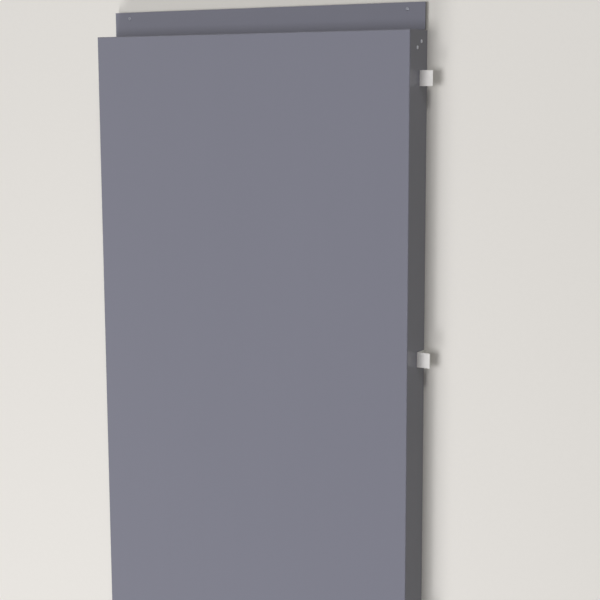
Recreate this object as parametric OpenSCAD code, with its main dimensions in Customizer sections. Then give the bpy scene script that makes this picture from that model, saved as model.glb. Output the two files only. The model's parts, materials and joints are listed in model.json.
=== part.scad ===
// Facade cassette: a tray routed and folded from one aluminium composite sheet, with its hanging lugs.
// It lies face up on the back edges of its returns: X across the width, Y up the facade, Z out of it.
// The origin is on the floor, under the middle of the whole piece, fixing flange included.

/* [Sheet] */
// Thickness of the composite sheet
sheet_t = 4; // [3:0.5:6]
// Outer radius of a folded edge
fold_r = 2; // [1:0.5:3]

/* [Face] */
// Width of the face over its folded edges
face_w = 700; // [400:10:1200]
// Height of the face over its folded edges
face_h = 2220; // [1500:10:3800]

/* [Returns] */
// Depth of the side returns over the face
return_depth = 70; // [64:1:120]
// Seam between the ends of two returns that meet in a corner
corner_seam = 0.8; // [0.4:0.1:2]
// Gap that the bottom return leaves to the flange of the panel below
flange_room = 2; // [1:0.5:8]

/* [Fixing flange] */
// How far the back of the flange stays in front of the back edges of the side returns
flange_set = 5; // [0:0.5:8]
// Height of the flange above the top edge of the face
flange_rise = 50; // [35:1:80]
// Diameter of a fixing hole
flange_hole_d = 3.3; // [3:0.1:6.5]
// Distance from the flange's top edge to the fixing holes
flange_hole_drop = 12; // [10:1:20]
// Distance from the side of the face to the nearer fixing hole
flange_hole_side = 36; // [20:1:80]

/* [Hanging lugs] */
// Number of lugs on each side
lugs_per_side = 5; // [2:1:8]
// Distance from each end of the face to the middle of the nearest lug
lug_end = 85; // [80:5:200]
// Length of the lug's leg on the side return
lug_leg = 30; // [20:1:40]
// How far the lug's other leg reaches out from the side return
lug_reach = 26; // [20:1:40]
// Wall of the lug angle
lug_t = 3; // [2:0.5:4]
// Length of a lug along the side of the tray
lug_len = 28; // [24:1:60]
// Radius in the inner corner of the lug angle
lug_root_r = 1.5; // [0.5:0.5:3]
// Radius on the inner edge of each leg's tip
lug_tip_r = 1; // [0.5:0.25:1.5]
// Distance from each end of a lug to its rivet
lug_rivet_edge = 7.5; // [6:0.5:9]

/* [Corner cleats] */
// Length of each leg of a cleat
cleat_leg = 40; // [38:1:60]
// Wall of a cleat
cleat_t = 2; // [1.5:0.5:3]
// Outer radius of a cleat's bend
cleat_bend_r = 3.5; // [3.5:0.5:6]
// Distance from the back of the face to a cleat
cleat_from_face = 16; // [10:1:18]
// Distance from the free edge of the bottom return to a cleat's back edge
cleat_from_edge = 3; // [1:0.5:6]
// Distance from the folded corner to the rivets at the cleat's back edge
cleat_rivet_near = 20; // [18:1:22]
// Distance from the folded corner to the rivets at the cleat's front edge
cleat_rivet_far = 31; // [30:1:34]
// Distance from each long edge of a cleat to the rivets beside it
cleat_rivet_edge = 10; // [7:0.5:12]

/* [Rivets] */
// Diameter of a rivet hole
rivet_hole_d = 3.3; // [2.5:0.1:5.1]

/* [Hidden] */
ENDS = ["top", "bottom"];
SIDES = ["left", "right"];
$fn = 48;

coat_colour = [0.48, 0.48, 0.53];
mill_colour = [0.80, 0.80, 0.78];
cut = 1;                                     // how far a cutting tool runs past the material

half_w = face_w / 2;
inner_half_w = half_w - sheet_t;             // inner faces of the side returns
end_half_w = inner_half_w - corner_seam;     // ends of the top and bottom returns
y_top = (face_h - flange_rise) / 2;          // top edge of the face
y_bottom = y_top - face_h;                   // bottom edge of the face
y_flange = y_top + flange_rise;              // top edge of the flange
flange_front_z = flange_set + sheet_t;       // front of the flange
bottom_edge_z = flange_front_z + flange_room;  // free edge of the bottom return

lug_pitch = (face_h - 2 * lug_end) / (lugs_per_side - 1);
lug_rivet_z = (lug_leg - lug_t) / 2;         // middle of the leg that lies on the return

cleat_front_z = return_depth - sheet_t - cleat_from_face;
cleat_back_z = bottom_edge_z + cleat_from_edge;
rivet_front_z = cleat_front_z - cleat_rivet_edge;
rivet_back_z = cleat_back_z + cleat_rivet_edge;

// Middle of a lug along the side of the tray, with lug 1 at the top
function lug_y(i) = y_top - lug_end - (i - 1) * lug_pitch;

// ---- Helpers ----

// What a round edge of radius r takes off a square corner that points to the lower left
module corner_waste(r) {
    difference() {
        translate([-cut, -cut]) square(r + cut);
        translate([r, r]) circle(r);
    }
}

// Runs a section drawn in Y and Z along X, the same way to both sides of the middle
module along_x(half_length) {
    rotate([90, 0, 90]) linear_extrude(2 * half_length, center = true) children();
}

// Runs a section drawn in X and Z along Y
module along_y(y_from, y_to) {
    translate([0, y_to, 0]) rotate([90, 0, 0]) linear_extrude(y_to - y_from) children();
}

// Repeats what is drawn for the right side on the left side too
module both_sides() {
    children();
    mirror([1, 0, 0]) children();
}

// Repeats what is drawn for the corners of the top return at the bottom return too
module both_ends() {
    children();
    translate([0, y_top + y_bottom, 0]) mirror([0, 1, 0]) children();
}

// Rivet holes through the wall of a given thickness on the right of x
module side_rivet_holes(x, wall, places) {
    for (place = places)
        translate([x - cut, place[0], place[1]])
            rotate([0, 90, 0]) cylinder(h = wall + 2 * cut, d = rivet_hole_d);
}

// ---- Folded cassette ----

// Face and side returns as one folded section
module tray_section() {
    difference() {
        translate([-half_w, 0]) square([face_w, return_depth]);
        translate([-inner_half_w, -cut]) square([2 * inner_half_w, return_depth - sheet_t + cut]);
        for (side = [0, 1])
            mirror([side, 0]) translate([half_w, return_depth]) rotate(180) corner_waste(fold_r);
    }
}

// Side view of the tray without its flange, with the folds along the top and bottom edges
module tray_outline() {
    difference() {
        translate([y_bottom, 0]) square([face_h, return_depth]);
        translate([y_top, return_depth]) rotate(180) corner_waste(fold_r);
        translate([y_bottom, return_depth]) rotate(-90) corner_waste(fold_r);
    }
}

// Top return, folded back from the face and folded up again at its back edge
module top_return_section() {
    difference() {
        union() {
            translate([y_top - sheet_t, flange_set]) square([sheet_t, return_depth - fold_r - flange_set]);
            translate([y_top - sheet_t, flange_set]) square([sheet_t + flange_rise, sheet_t]);
        }
        translate([y_top - sheet_t, flange_set]) corner_waste(fold_r);
    }
}

module bottom_return_section() {
    translate([y_bottom, bottom_edge_z]) square([sheet_t, return_depth - fold_r - bottom_edge_z]);
}

// The flange at its full width, above the ends of the side returns
module flange() {
    translate([-half_w, y_top + corner_seam, flange_set])
        cube([face_w, flange_rise - corner_seam, sheet_t]);
}

module flange_holes() {
    both_sides()
        translate([half_w - flange_hole_side, y_flange - flange_hole_drop, flange_set - cut])
            cylinder(h = sheet_t + 2 * cut, d = flange_hole_d);
}

// Where the rivets of one lug go, as pairs of Y and Z
function lug_rivets(i) = [
    for (end = [-1, 1]) [lug_y(i) + end * (lug_len / 2 - lug_rivet_edge), lug_rivet_z]
];

// Where the rivets of a top cleat go through the side return
cleat_rivets = [[y_top - cleat_rivet_near, rivet_back_z], [y_top - cleat_rivet_far, rivet_front_z]];

// Rivet holes of a top cleat on the right, through both returns of its corner and the cleat itself
module cleat_holes() {
    wall = sheet_t + cleat_t;
    side_rivet_holes(half_w - wall, wall, cleat_rivets);
    corner_mirror() side_rivet_holes(half_w - wall, wall, cleat_rivets);
}

// Swaps the two sides of the top right corner
module corner_mirror() {
    translate([half_w, y_top, 0]) mirror([1, -1, 0]) translate([-half_w, -y_top, 0]) children();
}

module cassette() {
    color(coat_colour)
        difference() {
            union() {
                intersection() {
                    along_y(y_bottom, y_top) tray_section();
                    along_x(half_w) tray_outline();
                }
                along_x(end_half_w) top_return_section();
                along_x(end_half_w) bottom_return_section();
                flange();
            }
            flange_holes();
            both_sides() both_ends() cleat_holes();
            both_sides()
                for (i = [1 : lugs_per_side])
                    side_rivet_holes(inner_half_w, sheet_t, lug_rivets(i));
        }
}

// ---- Corner cleats ----

// Bent angle in the inner corner of the top right returns, seen from the front
module cleat_section() {
    inner_r = cleat_bend_r - cleat_t;
    translate([inner_half_w, y_top - sheet_t]) rotate(180)
        difference() {
            square(cleat_leg);
            corner_waste(cleat_bend_r);
            difference() {
                translate([cleat_t, cleat_t]) square(cleat_leg);
                translate([cleat_t, cleat_t]) corner_waste(inner_r);
            }
        }
}

module cleat_top_right() {
    color(mill_colour)
        difference() {
            translate([0, 0, cleat_back_z])
                linear_extrude(cleat_front_z - cleat_back_z) cleat_section();
            cleat_holes();
        }
}

module cleat(end, side) {
    mirror([side == "left" ? 1 : 0, 0, 0])
        if (end == "top")
            cleat_top_right();
        else
            translate([0, y_top + y_bottom, 0]) mirror([0, 1, 0]) cleat_top_right();
}

// ---- Hanging lugs ----

// Extruded angle on the right side return: one leg lies on the return, the other stands out
module lug_section() {
    translate([half_w, lug_leg]) mirror([0, 1])
        difference() {
            square([lug_reach, lug_leg]);
            difference() {
                translate([lug_t, lug_t]) square([lug_reach, lug_leg]);
                translate([lug_t, lug_t]) corner_waste(lug_root_r);
            }
            translate([lug_reach, lug_t]) rotate(180) corner_waste(lug_tip_r);
            translate([lug_t, lug_leg]) rotate(180) corner_waste(lug_tip_r);
        }
}

module lug(side, i) {
    color(mill_colour)
        mirror([side == "left" ? 1 : 0, 0, 0])
            difference() {
                along_y(lug_y(i) - lug_len / 2, lug_y(i) + lug_len / 2) lug_section();
                side_rivet_holes(half_w, lug_t, lug_rivets(i));
            }
}

cassette();
for (end = ENDS, side = SIDES)
    cleat(end, side);
for (side = SIDES, i = [1 : lugs_per_side])
    lug(side, i);
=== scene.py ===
import json
import math
import bpy
from mathutils import Matrix, Vector


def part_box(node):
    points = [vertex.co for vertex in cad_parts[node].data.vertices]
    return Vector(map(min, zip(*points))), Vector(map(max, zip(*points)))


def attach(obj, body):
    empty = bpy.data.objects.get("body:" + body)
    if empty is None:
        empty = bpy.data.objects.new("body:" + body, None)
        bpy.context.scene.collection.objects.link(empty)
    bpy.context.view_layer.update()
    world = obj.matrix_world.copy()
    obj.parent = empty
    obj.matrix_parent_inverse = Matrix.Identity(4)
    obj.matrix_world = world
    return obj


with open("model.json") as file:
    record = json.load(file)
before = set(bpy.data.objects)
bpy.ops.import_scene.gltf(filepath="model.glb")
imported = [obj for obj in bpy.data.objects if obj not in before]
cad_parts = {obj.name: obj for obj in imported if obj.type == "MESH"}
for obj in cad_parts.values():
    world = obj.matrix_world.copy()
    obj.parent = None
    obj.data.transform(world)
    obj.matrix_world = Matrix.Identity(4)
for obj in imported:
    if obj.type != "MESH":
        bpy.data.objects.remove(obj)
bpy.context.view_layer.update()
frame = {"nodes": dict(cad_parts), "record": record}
print("stage: frame loaded")

# what the folded sheet measures beyond its own box, in metres
sheet = {
    "thickness": 0.004,
    "skin": 0.0005,             # aluminium skin on each side of the core
    "foldRadius": 0.002,
    "flangeRise": 0.050,
    "flangeSet": 0.005,         # back of the flange in front of the side returns' back edges
    "flangeRoom": 0.002,        # between the bottom return and the next panel's flange
    "cornerSeam": 0.0008,
    "tolerance": 0.0002,        # slack of the masks that tell one surface from the next
    "facingSquarely": 0.5,      # least part of the normal along x or y that counts as facing it
    "facingDown": -0.1,         # most of the normal along z that counts as facing down
}

sheetLow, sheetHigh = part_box("cassette")
halfWidth = sheetHigh[0]
flangeTop = sheetHigh[1]
faceTop = flangeTop - sheet["flangeRise"]
faceBottom = sheetLow[1]
faceHeight = sheetHigh[2]


class TreeBuilder:
    # adds nodes to a shader or geometry tree; most answers are output sockets for the next node

    def __init__(self, tree):
        self.tree = tree

    def add(self, kind, inputs=None, **settings):
        node = self.tree.nodes.new(kind)
        for name, value in settings.items():
            setattr(node, name, value)
        for key, value in (inputs or {}).items():
            self.feed(node.inputs[key], value)
        return node

    def feed(self, socket, value):
        if isinstance(value, bpy.types.NodeSocket):
            self.tree.links.new(value, socket)
        else:
            socket.default_value = value

    def maths(self, operation, first, second=0.0):
        return self.add("ShaderNodeMath", {0: first, 1: second}, operation=operation).outputs[0]

    def above(self, value, limit):
        return self.maths("GREATER_THAN", value, limit)

    def below(self, value, limit):
        return self.maths("LESS_THAN", value, limit)

    def between(self, value, low, high):
        return self.both(self.above(value, low), self.below(value, high))

    def both(self, *masks):
        result = masks[0]
        for mask in masks[1:]:
            result = self.maths("MULTIPLY", result, mask)
        return result

    def either(self, *masks):
        result = masks[0]
        for mask in masks[1:]:
            result = self.maths("MAXIMUM", result, mask)
        return result

    def blend(self, mask, first, second):
        # one number where the mask is 0, the other where it is 1
        inputs = {0: mask, 2: first, 3: second}
        return self.add("ShaderNodeMix", inputs, data_type="FLOAT").outputs[0]

    def tint(self, mask, first, second, mode="MIX"):
        # the same for colours
        inputs = {0: mask, 6: first, 7: second}
        return self.add("ShaderNodeMix", inputs, data_type="RGBA", blend_type=mode).outputs[2]

    def spread(self, value, low, high, fromLow=0.0, fromHigh=1.0):
        # maps one range of numbers onto another
        inputs = {0: value, 1: fromLow, 2: fromHigh, 3: low, 4: high}
        return self.add("ShaderNodeMapRange", inputs).outputs[0]

    def noise(self, place, scale, detail=2.0, roughness=0.5, stretch=(1, 1, 1)):
        mapping = self.add("ShaderNodeMapping", {"Vector": place, "Scale": stretch})
        inputs = {"Vector": mapping.outputs[0], "Scale": scale,
                  "Detail": detail, "Roughness": roughness}
        return self.add("ShaderNodeTexNoise", inputs).outputs[0]

    def bump(self, height, distance, strength=1.0, under=None):
        inputs = {"Height": height, "Distance": distance, "Strength": strength}
        if under is not None:
            inputs["Normal"] = under
        return self.add("ShaderNodeBump", inputs).outputs[0]

    def mixShaders(self, mask, first, second):
        inputs = {0: mask, 1: first.outputs[0], 2: second.outputs[0]}
        return self.add("ShaderNodeMixShader", inputs)


def newMaterial(name):
    material = bpy.data.materials.new(name)
    material.use_nodes = True
    builder = TreeBuilder(material.node_tree)
    principled = material.node_tree.nodes["Principled BSDF"]
    coordinates = builder.add("ShaderNodeTexCoord")
    return material, builder, principled, coordinates


def colour(red, green, blue):
    # a colour given as it looks on screen, from 0 to 255
    def linear(value):
        value /= 255
        return value / 12.92 if value <= 0.04045 else ((value + 0.055) / 1.055) ** 2.4
    return (linear(red), linear(green), linear(blue), 1.0)


def dressNode(name, material):
    node = frame["nodes"][name]
    node.data.materials.clear()
    node.data.materials.append(material)


# the composite sheet: blue-grey coat in front, washcoat behind, sandwich on the cut edges
coat = {
    "colour": colour(120, 121, 136),
    "backColour": colour(148, 150, 150),       # washcoat on the back of the sheet
    "backCloudColour": colour(132, 135, 137),
    "backCloudShare": 0.35,
    "skinColour": colour(196, 196, 194),
    "coreColour": colour(72, 71, 70),
    "metallic": 0.12,
    "skinMetallic": 0.9,
    "roughness": (0.45, 0.57),                 # least and most, by smudges
    "backRoughness": 0.62,                     # of the washcoat and the core
    "specular": 0.3,
    "glossWeight": 1.0,
    "glossRoughness": 0.05,
    "flakeScale": 2600,
    "flakeShade": 0.035,                       # how far the flake lightens and darkens the coat
    "cloudScale": 2.2,
    "cloudStretch": (1.0, 0.35, 1.0),
    "cloudShade": 0.03,
    "rollScale": 40,
    "rollStretch": (1.0, 0.01, 1.0),
    "rollShade": 0.008,
    "smudgeScale": 9,
    "peelScale": 260,
    "peelDepth": 0.000004,
    "sawnScale": 1500,                         # roughness that the saw left on the cut edges
    "sawnDepth": 0.00012,
}


def sheetMasks(builder, place, facing):
    # where the sheet shows its back, where its cut edge, and where that edge shows its core
    slack = sheet["tolerance"]
    thickness = sheet["thickness"]
    flangeBack = sheet["flangeSet"]
    belowFold = faceHeight - sheet["foldRadius"]
    x, y, z = place
    across = builder.maths("ABSOLUTE", x)
    facesDown = builder.below(facing[2], sheet["facingDown"])
    facesAlong = builder.above(builder.maths("ABSOLUTE", facing[1]), sheet["facingSquarely"])
    facesAcross = builder.above(builder.maths("ABSOLUTE", facing[0]), sheet["facingSquarely"])

    insideTray = builder.both(
        builder.below(across, halfWidth - thickness + slack),
        builder.between(y, faceBottom + thickness - slack, faceTop - thickness + slack),
        builder.below(z, faceHeight - thickness + slack))
    underFlange = builder.both(
        facesDown, builder.above(y, faceTop - thickness - slack),
        builder.below(z, flangeBack + sheet["foldRadius"] + slack))
    back = builder.either(insideTray, underFlange)

    onSideReturn = builder.both(
        builder.above(across, halfWidth - thickness - slack),
        builder.below(y, faceTop + slack))
    sideEdge = builder.both(onSideReturn, builder.either(
        builder.both(facesDown, builder.below(z, slack)),
        builder.both(facesAlong, builder.below(z, belowFold))))
    flangeEdge = builder.both(
        builder.above(y, faceTop + slack), builder.either(facesAlong, facesAcross),
        builder.below(z, flangeBack + thickness + slack))
    bottomEdgeHeight = flangeBack + thickness + sheet["flangeRoom"]
    bottomEdge = builder.both(
        facesDown, builder.below(y, faceBottom + thickness + slack),
        builder.between(z, bottomEdgeHeight - slack, bottomEdgeHeight + slack))
    returnEnd = halfWidth - thickness - sheet["cornerSeam"]
    seamEdge = builder.both(
        facesAcross, builder.between(across, returnEnd - slack, returnEnd + slack),
        builder.below(z, belowFold))
    cutEdge = builder.either(sideEdge, flangeEdge, bottomEdge, seamEdge)

    # how far through the sheet a point on a cut edge lies
    fromEnd = builder.maths(
        "MINIMUM", builder.maths("SUBTRACT", y, faceBottom),
        builder.maths("ABSOLUTE", builder.maths("SUBTRACT", faceTop, y)))
    through = builder.maths("SUBTRACT", across, halfWidth - thickness)
    through = builder.blend(flangeEdge, through, builder.maths("SUBTRACT", z, flangeBack))
    through = builder.blend(builder.either(bottomEdge, seamEdge), through, fromEnd)
    inCore = builder.between(through, sheet["skin"], thickness - sheet["skin"])
    return back, cutEdge, builder.both(cutEdge, inCore)


def makeCoat():
    material, builder, principled, coordinates = newMaterial("blueGreyCoat")
    place = coordinates.outputs["Object"]
    placeParts = builder.add("ShaderNodeSeparateXYZ", {0: place}).outputs
    facingParts = builder.add("ShaderNodeSeparateXYZ", {0: coordinates.outputs["Normal"]}).outputs
    back, cutEdge, core = sheetMasks(builder, placeParts, facingParts)

    # metallic flake, faint clouds from coil coating and long rolling lines along the sheet
    flake = builder.noise(place, coat["flakeScale"], detail=0.0)
    clouds = builder.noise(place, coat["cloudScale"], detail=3.0, stretch=coat["cloudStretch"])
    rolling = builder.noise(place, coat["rollScale"], stretch=coat["rollStretch"])
    shade = 1.0
    for pattern, depth in ((flake, coat["flakeShade"]), (clouds, coat["cloudShade"]),
                           (rolling, coat["rollShade"])):
        shade = builder.maths("ADD", shade, builder.spread(pattern, -depth, depth))
    coatColour = builder.tint(1.0, coat["colour"], shade, mode="MULTIPLY")
    backClouds = builder.spread(clouds, 0.0, coat["backCloudShare"])
    backColour = builder.tint(backClouds, coat["backColour"], coat["backCloudColour"])
    edgeColour = builder.tint(core, coat["skinColour"], coat["coreColour"])
    surface = builder.tint(back, coatColour, backColour)
    surface = builder.tint(cutEdge, surface, edgeColour)
    builder.feed(principled.inputs["Base Color"], surface)

    # the gloss lies on the painted front alone
    bare = builder.either(back, cutEdge)
    gloss = builder.blend(bare, coat["glossWeight"], 0.0)
    builder.feed(principled.inputs["Coat Weight"], gloss)
    principled.inputs["Coat Roughness"].default_value = coat["glossRoughness"]
    principled.inputs["Specular IOR Level"].default_value = coat["specular"]
    skin = builder.maths("SUBTRACT", cutEdge, core)
    plain = builder.either(back, core)
    metallic = builder.blend(plain, coat["metallic"], 0.0)
    metallic = builder.blend(skin, metallic, coat["skinMetallic"])
    builder.feed(principled.inputs["Metallic"], metallic)
    smudges = builder.noise(place, coat["smudgeScale"], detail=4.0, roughness=0.6)
    roughness = builder.spread(smudges, *coat["roughness"])
    roughness = builder.blend(plain, roughness, coat["backRoughness"])
    builder.feed(principled.inputs["Roughness"], roughness)

    peel = builder.noise(place, coat["peelScale"], detail=1.0)
    sawn = builder.both(builder.noise(place, coat["sawnScale"]), cutEdge)
    relief = builder.bump(peel, coat["peelDepth"])
    relief = builder.bump(sawn, coat["sawnDepth"], under=relief)
    builder.feed(principled.inputs["Normal"], relief)
    return material


# mill-finish aluminium of the lugs and cleats
mill = {
    "colour": colour(247, 245, 244),
    "dullColour": colour(232, 230, 229),
    "metallic": (0.26, 0.06),   # without bloom, and under it
    "roughness": (0.38, 0.58),
    "bloomScale": 45,
    "lineScale": 1400,          # extrusion lines to the metre, across the run of the section
    "lineStretch": (1.0, 0.012, 1.0),
    "lineShade": (0.93, 1.05),
    "scratchScale": 900,
    "scratchStretch": (1.0, 1.0, 0.08),
    "reliefDepth": 0.00003,
    "reliefStrength": 0.6,
    "sawnEndFacing": 0.7,       # least share of the normal along the section on its sawn ends
}


def makeMill():
    material, builder, principled, coordinates = newMaterial("millAluminium")
    place = coordinates.outputs["Object"]
    facing = builder.add("ShaderNodeSeparateXYZ", {0: coordinates.outputs["Normal"]}).outputs
    lines = builder.noise(place, mill["lineScale"], stretch=mill["lineStretch"])
    bloom = builder.noise(place, mill["bloomScale"], detail=4.0, roughness=0.65)
    dull = builder.spread(bloom, 0.0, 1.0, 0.35, 0.75)
    surface = builder.tint(dull, mill["colour"], mill["dullColour"])
    lineShade = builder.spread(lines, *mill["lineShade"])
    surface = builder.tint(1.0, surface, lineShade, mode="MULTIPLY")
    builder.feed(principled.inputs["Base Color"], surface)
    metallic = builder.spread(bloom, *mill["metallic"], 0.3, 0.8)
    builder.feed(principled.inputs["Metallic"], metallic)
    builder.feed(principled.inputs["Roughness"], builder.spread(bloom, *mill["roughness"]))
    # the ends of the section are sawn, which leaves slanted scratches
    sawnEnd = builder.above(builder.maths("ABSOLUTE", facing[1]), mill["sawnEndFacing"])
    scratches = builder.noise(place, mill["scratchScale"], detail=1.0,
                              stretch=mill["scratchStretch"])
    relief = builder.bump(builder.blend(sawnEnd, lines, scratches), mill["reliefDepth"],
                          strength=mill["reliefStrength"])
    builder.feed(principled.inputs["Normal"], relief)
    return material


# blind rivets: through the lugs and cleats, and two that held the flange
rivets = {
    "headDiameter": 0.0065,
    "headHeight": 0.0012,
    "rimHeight": 0.0004,        # of the thin edge round the dome
    "shankDiameter": 0.0032,
    "pocketDiameter": 0.0018,   # where the mandrel broke off
    "pocketDepth": 0.0006,
    "tailDiameter": 0.0052,
    "tailLength": 0.0032,
    # shares of the tail's radius and length, from the riveted surface on
    "tailShape": ((0.94, 0.0), (1.0, 0.3), (0.92, 0.6), (0.6, 0.9)),
    # the two in the flange end inside it, because what they went into is gone
    "flangeShortfall": 0.0004,
    "flangeTailLength": 0.0002,
    "domeSteps": 5,
    "segments": 24,
    "creaseAngle": 40,          # degrees, past which an edge stays sharp
    "mergeDistance": 0.000001,
    "seed": 7,
    "colour": colour(229, 231, 242),
    "paintedShadeColour": colour(168, 171, 184),     # painted shade: a darker copy of the rivet colour for the two in the flange, so their domes catch less light
    "stubColour": colour(126, 122, 116),
    "metallic": 0.75,
    "roughness": (0.30, 0.48),
    "grainScale": 600,
    "grainShade": (1.0, 0.86),
    "grainDepth": 0.00002,
}

# where the rivets sit on the lugs and cleats
lug = {
    "wall": 0.003,
    "rivetFromEnd": 0.0075,
}
cleat = {
    "wall": 0.002,
    "rivetsFromCorner": (0.020, 0.031),
    "rivetFromEdge": 0.010,
}


def makeRivetMetal(name, metalColour):
    material, builder, principled, coordinates = newMaterial(name)
    grain = builder.noise(coordinates.outputs["Object"], rivets["grainScale"], detail=3.0)
    grainShade = builder.spread(grain, *rivets["grainShade"])
    surface = builder.tint(1.0, metalColour, grainShade, mode="MULTIPLY")
    stub = builder.add("ShaderNodeAttribute", attribute_name="stub").outputs["Fac"]
    surface = builder.tint(stub, surface, rivets["stubColour"])
    builder.feed(principled.inputs["Base Color"], surface)
    builder.feed(principled.inputs["Roughness"], builder.spread(grain, *rivets["roughness"]))
    principled.inputs["Metallic"].default_value = rivets["metallic"]
    builder.feed(principled.inputs["Normal"], builder.bump(grain, rivets["grainDepth"]))
    return material


def rivetProfile(builder, size):
    # radius and height from the middle of the head, over the dome and down to the end of the tail
    def half(value):
        return builder.maths("MULTIPLY", value, 0.5)

    def along(low, high, share):
        step = builder.maths("MULTIPLY", builder.maths("SUBTRACT", high, low), share)
        return builder.maths("ADD", low, step)

    head, shank, tail, pocket = [half(size[name]) for name in (
        "Head Diameter", "Shank Diameter", "Tail Diameter", "Pocket Diameter")]
    pocketFloor = builder.maths("SUBTRACT", size["Head Height"], size["Pocket Depth"])
    outline = [(0.0, pocketFloor), (pocket, pocketFloor)]
    for step in range(rivets["domeSteps"] + 1):
        turn = math.pi / 2 * step / rivets["domeSteps"]
        outline.append((along(pocket, head, math.sin(turn)),
                        along(size["Rim Height"], size["Head Height"], math.cos(turn))))
    farFace = builder.maths("MULTIPLY", size["Grip"], -1.0)
    farEnd = builder.maths("SUBTRACT", farFace, size["Tail Length"])
    outline += [(head, 0.0), (shank, 0.0), (shank, farFace)]
    for radiusShare, lengthShare in rivets["tailShape"]:
        outline.append((along(pocket, tail, radiusShare), along(farFace, farEnd, lengthShare)))
    return outline + [(pocket, farEnd), (0.0, farEnd)]


def makeRivetTree():
    # one rivet, turned from its profile, is set on every point along the point's outward direction
    tree = bpy.data.node_groups.new("rivetsOnPoints", "GeometryNodeTree")
    builder = TreeBuilder(tree)
    socketKinds = {"Geometry": "Geometry", "Segments": "Int", "Seed": "Int", "Metal": "Material"}
    for name in ("Geometry", "Head Diameter", "Head Height", "Rim Height", "Shank Diameter",
                 "Pocket Diameter", "Pocket Depth", "Tail Diameter", "Tail Length", "Grip",
                 "Segments", "Seed", "Metal"):
        kind = "NodeSocket" + socketKinds.get(name, "Float")
        tree.interface.new_socket(name, in_out="INPUT", socket_type=kind)
    tree.interface.new_socket("Geometry", in_out="OUTPUT", socket_type="NodeSocketGeometry")
    size = builder.add("NodeGroupInput").outputs

    # a grid of profile points by turns, wrapped round the axis and closed along its seam and poles
    outline = rivetProfile(builder, size)
    turns = builder.maths("ADD", size["Segments"], 1.0)
    grid = builder.add("GeometryNodeMeshGrid", {"Vertices X": len(outline), "Vertices Y": turns})
    index = builder.add("GeometryNodeInputIndex").outputs[0]
    step = builder.maths("FLOOR", builder.maths("DIVIDE", builder.maths("ADD", index, 0.5), turns))
    turn = builder.maths("SUBTRACT", index, builder.maths("MULTIPLY", step, turns))
    share = builder.maths("DIVIDE", turn, size["Segments"])
    angle = builder.maths("MULTIPLY", share, 2 * math.pi)
    switch = builder.add("GeometryNodeIndexSwitch", data_type="VECTOR")
    while len(switch.index_switch_items) < len(outline):
        switch.index_switch_items.new()
    builder.feed(switch.inputs[0], step)
    for number, (radius, height) in enumerate(outline):
        point = builder.add("ShaderNodeCombineXYZ", {"X": radius, "Z": height})
        builder.feed(switch.inputs[number + 1], point.outputs[0])
    profile = builder.add("ShaderNodeSeparateXYZ", {0: switch.outputs[0]}).outputs
    place = builder.add("ShaderNodeCombineXYZ", {
        "X": builder.maths("MULTIPLY", profile[0], builder.maths("COSINE", angle)),
        "Y": builder.maths("MULTIPLY", profile[0], builder.maths("SINE", angle)),
        "Z": profile[2]})
    shaped = builder.add("GeometryNodeSetPosition", {
        "Geometry": grid.outputs[0], "Position": place.outputs[0]})
    # the first two points of the profile are the stub of the mandrel
    marked = builder.add("GeometryNodeStoreNamedAttribute", {
        "Geometry": shaped.outputs[0], "Name": "stub", "Value": builder.below(step, 1.5)},
        data_type="FLOAT", domain="POINT")
    closed = builder.add("GeometryNodeMergeByDistance", {
        "Geometry": marked.outputs[0], "Distance": rivets["mergeDistance"]})
    smooth = builder.add("GeometryNodeSetShadeSmooth", {"Geometry": closed.outputs[0]})
    edgeAngle = builder.add("GeometryNodeInputMeshEdgeAngle").outputs[0]
    rivet = builder.add("GeometryNodeSetShadeSmooth", {
        "Geometry": smooth.outputs[0],
        "Selection": builder.above(edgeAngle, math.radians(rivets["creaseAngle"])),
        "Shade Smooth": False}, domain="EDGE")

    outward = builder.add("GeometryNodeInputNamedAttribute", {"Name": "outward"},
                          data_type="FLOAT_VECTOR")
    aim = builder.add("FunctionNodeAlignRotationToVector", {"Vector": outward.outputs[0]},
                      axis="Z")
    chance = builder.add("FunctionNodeRandomValue", {
        2: 0.0, 3: 2 * math.pi, "Seed": size["Seed"]}, data_type="FLOAT")
    spin = builder.add("FunctionNodeAxisAngleToRotation", {
        "Axis": (0, 0, 1), "Angle": chance.outputs[1]})
    rotation = builder.add("FunctionNodeRotateRotation", {0: aim.outputs[0], 1: spin.outputs[0]},
                           rotation_space="LOCAL")
    instances = builder.add("GeometryNodeInstanceOnPoints", {
        "Points": size["Geometry"], "Instance": rivet.outputs[0], "Rotation": rotation.outputs[0]})
    realized = builder.add("GeometryNodeRealizeInstances", {"Geometry": instances.outputs[0]})
    finished = builder.add("GeometryNodeSetMaterial", {
        "Geometry": realized.outputs[0], "Material": size["Metal"]})
    builder.add("NodeGroupOutput", {0: finished.outputs[0]})
    return tree


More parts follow.
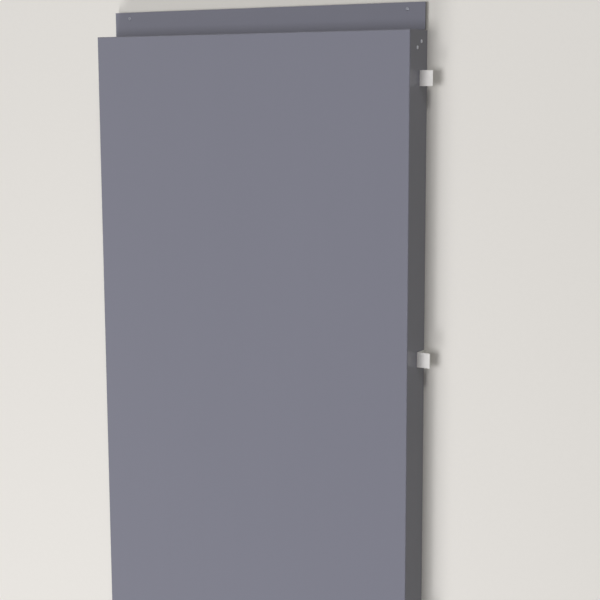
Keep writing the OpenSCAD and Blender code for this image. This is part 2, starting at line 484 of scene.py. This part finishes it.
def makeRivets(name, places, metal, grip, tailLength, tailDiameter):
    # places are pairs of a point on the riveted surface and the direction that its head faces
    mesh = bpy.data.meshes.new(name)
    mesh.from_pydata([point for point, outward in places], [], [])
    directions = mesh.attributes.new("outward", "FLOAT_VECTOR", "POINT")
    for entry, (point, outward) in zip(directions.data, places):
        entry.vector = outward
    piece = bpy.data.objects.new(name, mesh)
    bpy.context.collection.objects.link(piece)
    modifier = piece.modifiers.new("rivets", "NODES")
    modifier.node_group = rivetTree
    sizes = {
        "Head Diameter": rivets["headDiameter"],
        "Head Height": rivets["headHeight"],
        "Rim Height": rivets["rimHeight"],
        "Shank Diameter": rivets["shankDiameter"],
        "Pocket Diameter": rivets["pocketDiameter"],
        "Pocket Depth": rivets["pocketDepth"],
        "Tail Diameter": tailDiameter,
        "Tail Length": tailLength,
        "Grip": grip,
        "Segments": rivets["segments"],
        "Seed": rivets["seed"],
        "Metal": metal,
    }
    for item in rivetTree.interface.items_tree:
        if item.in_out == "INPUT" and item.name in sizes:
            modifier[item.identifier] = sizes[item.name]
    evaluated = piece.evaluated_get(bpy.context.evaluated_depsgraph_get())
    finished = bpy.data.meshes.new_from_object(evaluated)
    piece.modifiers.clear()
    piece.data = finished
    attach(piece, "root")


def lugRivetPlaces():
    places = []
    for nodeName in frame["nodes"]:
        if nodeName.startswith("lug_"):
            low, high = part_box(nodeName)
            side = 1 if high[0] > 0 else -1
            surface = side * (halfWidth + lug["wall"])
            for y in (low[1] + lug["rivetFromEnd"], high[1] - lug["rivetFromEnd"]):
                places.append(((surface, y, (high[2] - lug["wall"]) / 2), (side, 0, 0)))
    return places


def cleatRivetPlaces():
    places = []
    for nodeName in frame["nodes"]:
        if nodeName.startswith("cleat_"):
            low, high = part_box(nodeName)
            side = 1 if high[0] > 0 else -1
            end = 1 if high[1] > 0 else -1
            edge = faceTop if end > 0 else faceBottom
            heights = (low[2] + cleat["rivetFromEdge"], high[2] - cleat["rivetFromEdge"])
            for back, z in zip(cleat["rivetsFromCorner"], heights):
                places.append(((side * halfWidth, edge - end * back, z), (side, 0, 0)))
                places.append(((side * (halfWidth - back), edge, z), (0, end, 0)))
    return places


def flangeRivetPlaces():
    holes = [mount for mount in frame["record"]["mounts"] if mount["name"] == "flange_holes"][0]
    middle = holes["pos_m"]
    half = holes["dims"]["spacing_x_mm"] / 2000     # half the spacing, in metres
    front = middle[2] + sheet["thickness"]
    return [((middle[0] + side * half, middle[1], front), (0, 0, 1)) for side in (-1, 1)]


print("stage: helpers ready")

dressNode("cassette", makeCoat())
millMaterial = makeMill()
for nodeName in frame["nodes"]:
    if nodeName != "cassette":
        dressNode(nodeName, millMaterial)
print("stage: frame dressed")

rivetMetal = makeRivetMetal("rivetAluminium", rivets["colour"])
# the two in the flange get a darker copy of the same rivet metal, which is painted shade
paintedShadeMetal = makeRivetMetal("paintedShadeRivetAluminium", rivets["paintedShadeColour"])
rivetTree = makeRivetTree()
throughLug = lug["wall"] + sheet["thickness"]
throughCleat = cleat["wall"] + sheet["thickness"]
intoFlange = sheet["thickness"] - rivets["flangeShortfall"]
tail = (rivets["tailLength"], rivets["tailDiameter"])
flangeTail = (rivets["flangeTailLength"], rivets["shankDiameter"])
makeRivets("lug_rivets", lugRivetPlaces(), rivetMetal, throughLug, *tail)
makeRivets("cleat_rivets", cleatRivetPlaces(), rivetMetal, throughCleat, *tail)
makeRivets("flange_rivets", flangeRivetPlaces(), paintedShadeMetal, intoFlange, *flangeTail)
print("stage: rivets set")


# floor, light and camera
studio = {
    "floorColour": colour(234, 231, 227),
    "floorGrainColour": colour(205, 202, 198),
    "floorGrainShare": 0.08,
    "floorGrainScale": 120,
    "floorRoughness": 0.85,
    "floorShadeColour": (0.29, 0.29, 0.25, 1.0),    # what the floor throws back onto the panel
    "floorMirrorColour": colour(167, 165, 161),     # painted reflection: what gloss shows of the floor, one fixed colour darker than the lit floor
    "floorSize": 40.0,
    "floorFade": (1.0, 3.5),    # from the middle, where the floor passes into the backdrop
    "backdropColour": colour(226, 224, 220),
    "worldColour": (0.98, 0.97, 0.93, 1.0),
    "worldStrength": 0.10,
    "lampTarget": 0.6,          # below the top edge of the face
    "lamps": {
        # power in watts, colour, side, and place from the target
        "topLamp": (102, (1.0, 1.0, 1.0), 2.0, (-0.6, 0.0, 4.5)),
        "footLamp": (211, (1.0, 1.0, 1.0), 2.0, (-1.5, -5.2, 3.6)),
        "headLamp": (250, (0.985, 0.97, 0.925), 1.2, (4.2, 8.0, 5.7)),
    },
}

cameraSetup = {
    "sensorWidth": 36.0,        # millimetres, as is the lens
    "lens": 82.31,
    "clipEnd": 100.0,
    "side": 1.4420,             # place to the right of the middle
    "below": 0.0972,            # and below the top edge of the face
    "height": 2.2680,
    "aimSide": 0.1232,          # where the view's middle meets the face
    "aimBelow": 0.4980,
    "roll": -0.204,             # degrees
}


def seenRay(builder):
    # 1 for what the camera sees, straight or in a reflection
    rays = builder.add("ShaderNodeLightPath").outputs
    return builder.either(rays["Is Camera Ray"], rays["Is Glossy Ray"],
                          rays["Is Transmission Ray"])


def makeFloor():
    half = studio["floorSize"] / 2
    mesh = bpy.data.meshes.new("floor")
    corners = [(-half, -half, 0), (half, -half, 0), (half, half, 0), (-half, half, 0)]
    mesh.from_pydata(corners, [], [(0, 1, 2, 3)])
    floor = bpy.data.objects.new("floor", mesh)
    bpy.context.collection.objects.link(floor)
    material, builder, principled, coordinates = newMaterial("floorPaint")
    place = coordinates.outputs["Object"]
    grain = builder.noise(place, studio["floorGrainScale"], detail=3.0)
    grain = builder.spread(grain, 0.0, studio["floorGrainShare"])
    surface = builder.tint(grain, studio["floorColour"], studio["floorGrainColour"])
    builder.feed(principled.inputs["Base Color"], surface)
    principled.inputs["Roughness"].default_value = studio["floorRoughness"]
    # far off, the floor passes into the backdrop
    backdrop = builder.add("ShaderNodeEmission", {"Color": studio["backdropColour"]})
    distance = builder.add("ShaderNodeVectorMath", {0: place}, operation="LENGTH").outputs["Value"]
    fade = builder.spread(distance, 0.0, 1.0, *studio["floorFade"])
    shown = builder.mixShaders(fade, principled, backdrop)
    # painted reflection: the gloss of the sides mirrors a floor of one even, darker shade, without
    # the panel's own shadow
    paintedReflection = builder.add("ShaderNodeEmission", {"Color": studio["floorMirrorColour"]})
    glossyRay = builder.add("ShaderNodeLightPath").outputs["Is Glossy Ray"]
    shown = builder.mixShaders(glossyRay, shown, paintedReflection)
    # light that has bounced off the floor is held back, so the sides of the panel keep their shade
    shaded = builder.add("ShaderNodeBsdfDiffuse", {"Color": studio["floorShadeColour"]})
    mix = builder.mixShaders(seenRay(builder), shaded, shown)
    output = material.node_tree.nodes["Material Output"]
    builder.feed(output.inputs["Surface"], mix.outputs[0])
    mesh.materials.append(material)


def makeWorld():
    world = bpy.data.worlds.new("studio")
    world.use_nodes = True
    builder = TreeBuilder(world.node_tree)
    light = world.node_tree.nodes["Background"]
    light.inputs["Color"].default_value = studio["worldColour"]
    light.inputs["Strength"].default_value = studio["worldStrength"]
    backdrop = builder.add("ShaderNodeBackground", {"Color": studio["backdropColour"]})
    mix = builder.mixShaders(seenRay(builder), light, backdrop)
    builder.feed(world.node_tree.nodes["World Output"].inputs["Surface"], mix.outputs[0])
    bpy.context.scene.world = world


def aimed(place, target, roll=0.0):
    # a matrix that looks from place to target, with the panel's top as far up as it can be
    forward = (target - place).normalized()
    right = forward.cross(Vector((0, 1, 0))).normalized()
    up = right.cross(forward)
    turn = Matrix((right, up, -forward)).transposed()
    return Matrix.Translation(place) @ (turn @ Matrix.Rotation(roll, 3, "Z")).to_4x4()


def makeLamp(name, power, tone, side, offset):
    light = bpy.data.lights.new(name, "AREA")
    light.energy = power
    light.color = tone
    light.size = side
    lamp = bpy.data.objects.new(name, light)
    lamp.visible_glossy = False     # the gloss mirrors no lamp
    target = Vector((0, faceTop - studio["lampTarget"], faceHeight))
    lamp.matrix_world = aimed(target + Vector(offset), target)
    bpy.context.collection.objects.link(lamp)


def makeCamera():
    data = bpy.data.cameras.new("camera")
    data.sensor_width = cameraSetup["sensorWidth"]
    data.lens = cameraSetup["lens"]
    data.clip_end = cameraSetup["clipEnd"]
    camera = bpy.data.objects.new("camera", data)
    bpy.context.collection.objects.link(camera)
    place = Vector((cameraSetup["side"], faceTop - cameraSetup["below"], cameraSetup["height"]))
    target = Vector((cameraSetup["aimSide"], faceTop - cameraSetup["aimBelow"], faceHeight))
    camera.matrix_world = aimed(place, target, math.radians(cameraSetup["roll"]))
    bpy.context.scene.camera = camera


makeFloor()
makeWorld()
for lampName, lampSetup in studio["lamps"].items():
    makeLamp(lampName, *lampSetup)
makeCamera()
bpy.context.scene.view_settings.view_transform = "Standard"
print("stage: studio ready")
